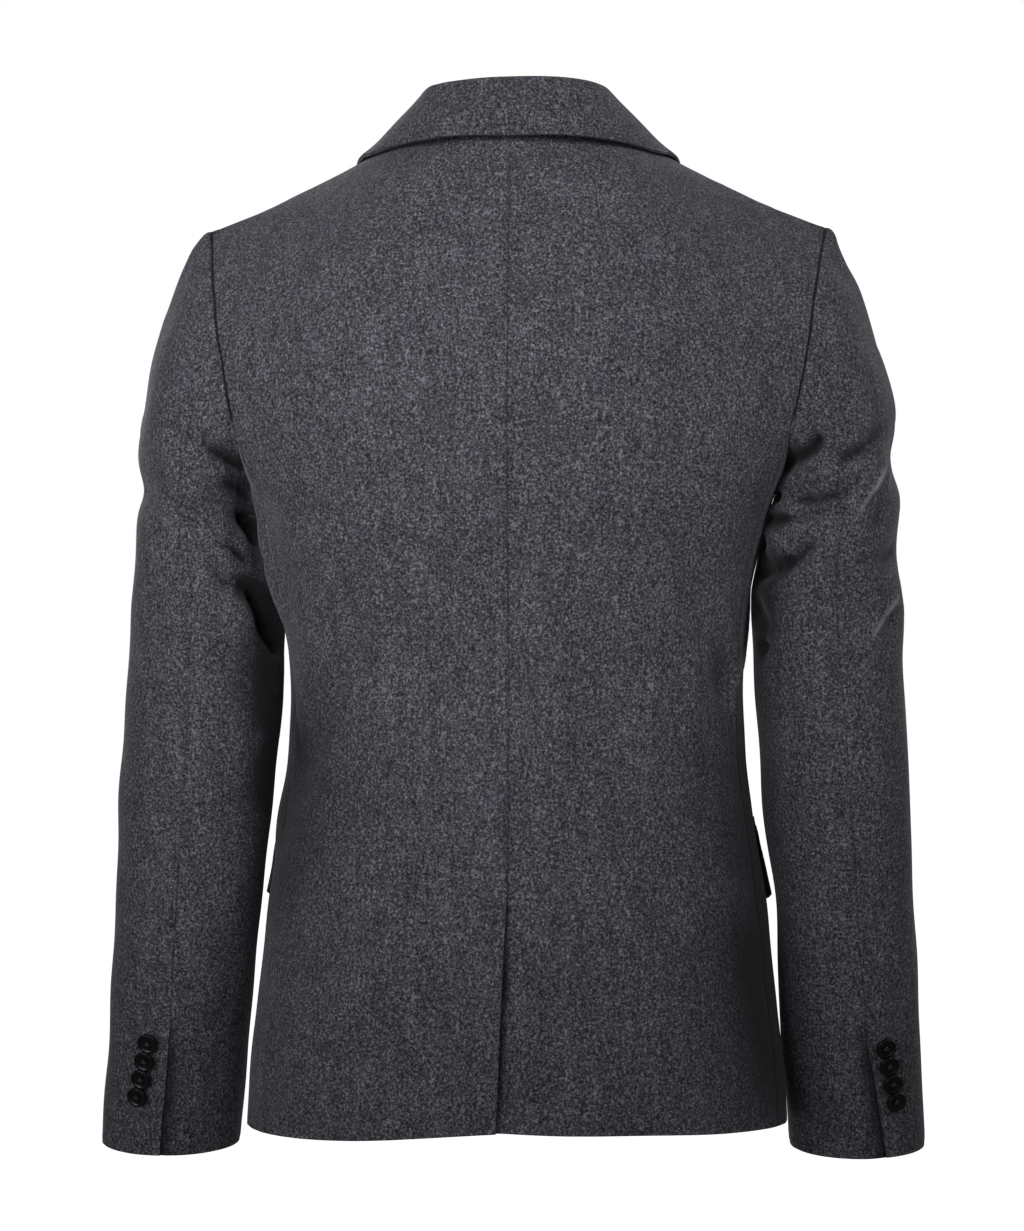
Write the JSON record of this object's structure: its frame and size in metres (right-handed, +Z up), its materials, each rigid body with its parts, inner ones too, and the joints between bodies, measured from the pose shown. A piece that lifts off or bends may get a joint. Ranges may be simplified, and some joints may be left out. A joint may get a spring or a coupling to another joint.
{
  "type": "single breasted blazer",
  "caption": "Hollow worn-shape tailored jacket with notch lapels, turned collar, centre back vent, flap pockets and buttoned cuffs.",
  "frame": {"origin": "middle of the neck opening, level with the seam that joins the collar to the body, where the wearer holds the jacket up", "axes": "+Z up, the front faces -Y and the back +Y, and the wearer's left is +X"},
  "size_m": [0.5923, 0.2611, 0.7543],
  "materials": {
    "wool_flannel": "soft napped wool flannel, charcoal grey melange, matt",
    "button": "polished black"
  },
  "bodies": {
    "root": {"back_left": "wool_flannel", "back_right": "wool_flannel", "collar": "wool_flannel", "flap_left": "wool_flannel", "flap_right": "wool_flannel", "front_left": "wool_flannel", "front_right": "wool_flannel", "lapel_left": "wool_flannel", "lapel_right": "wool_flannel", "side_left": "wool_flannel", "side_right": "wool_flannel", "top_sleeve_left": "wool_flannel", "top_sleeve_right": "wool_flannel", "under_sleeve_left": "wool_flannel", "under_sleeve_right": "wool_flannel", "welt_left": "wool_flannel", "welt_right": "wool_flannel", "cuff_button_left_1": "button", "cuff_button_left_2": "button", "cuff_button_left_3": "button", "cuff_button_left_4": "button", "cuff_button_right_1": "button", "cuff_button_right_2": "button", "cuff_button_right_3": "button", "cuff_button_right_4": "button", "front_button_1": "button", "front_button_2": "button"}
  },
  "joints": []
}
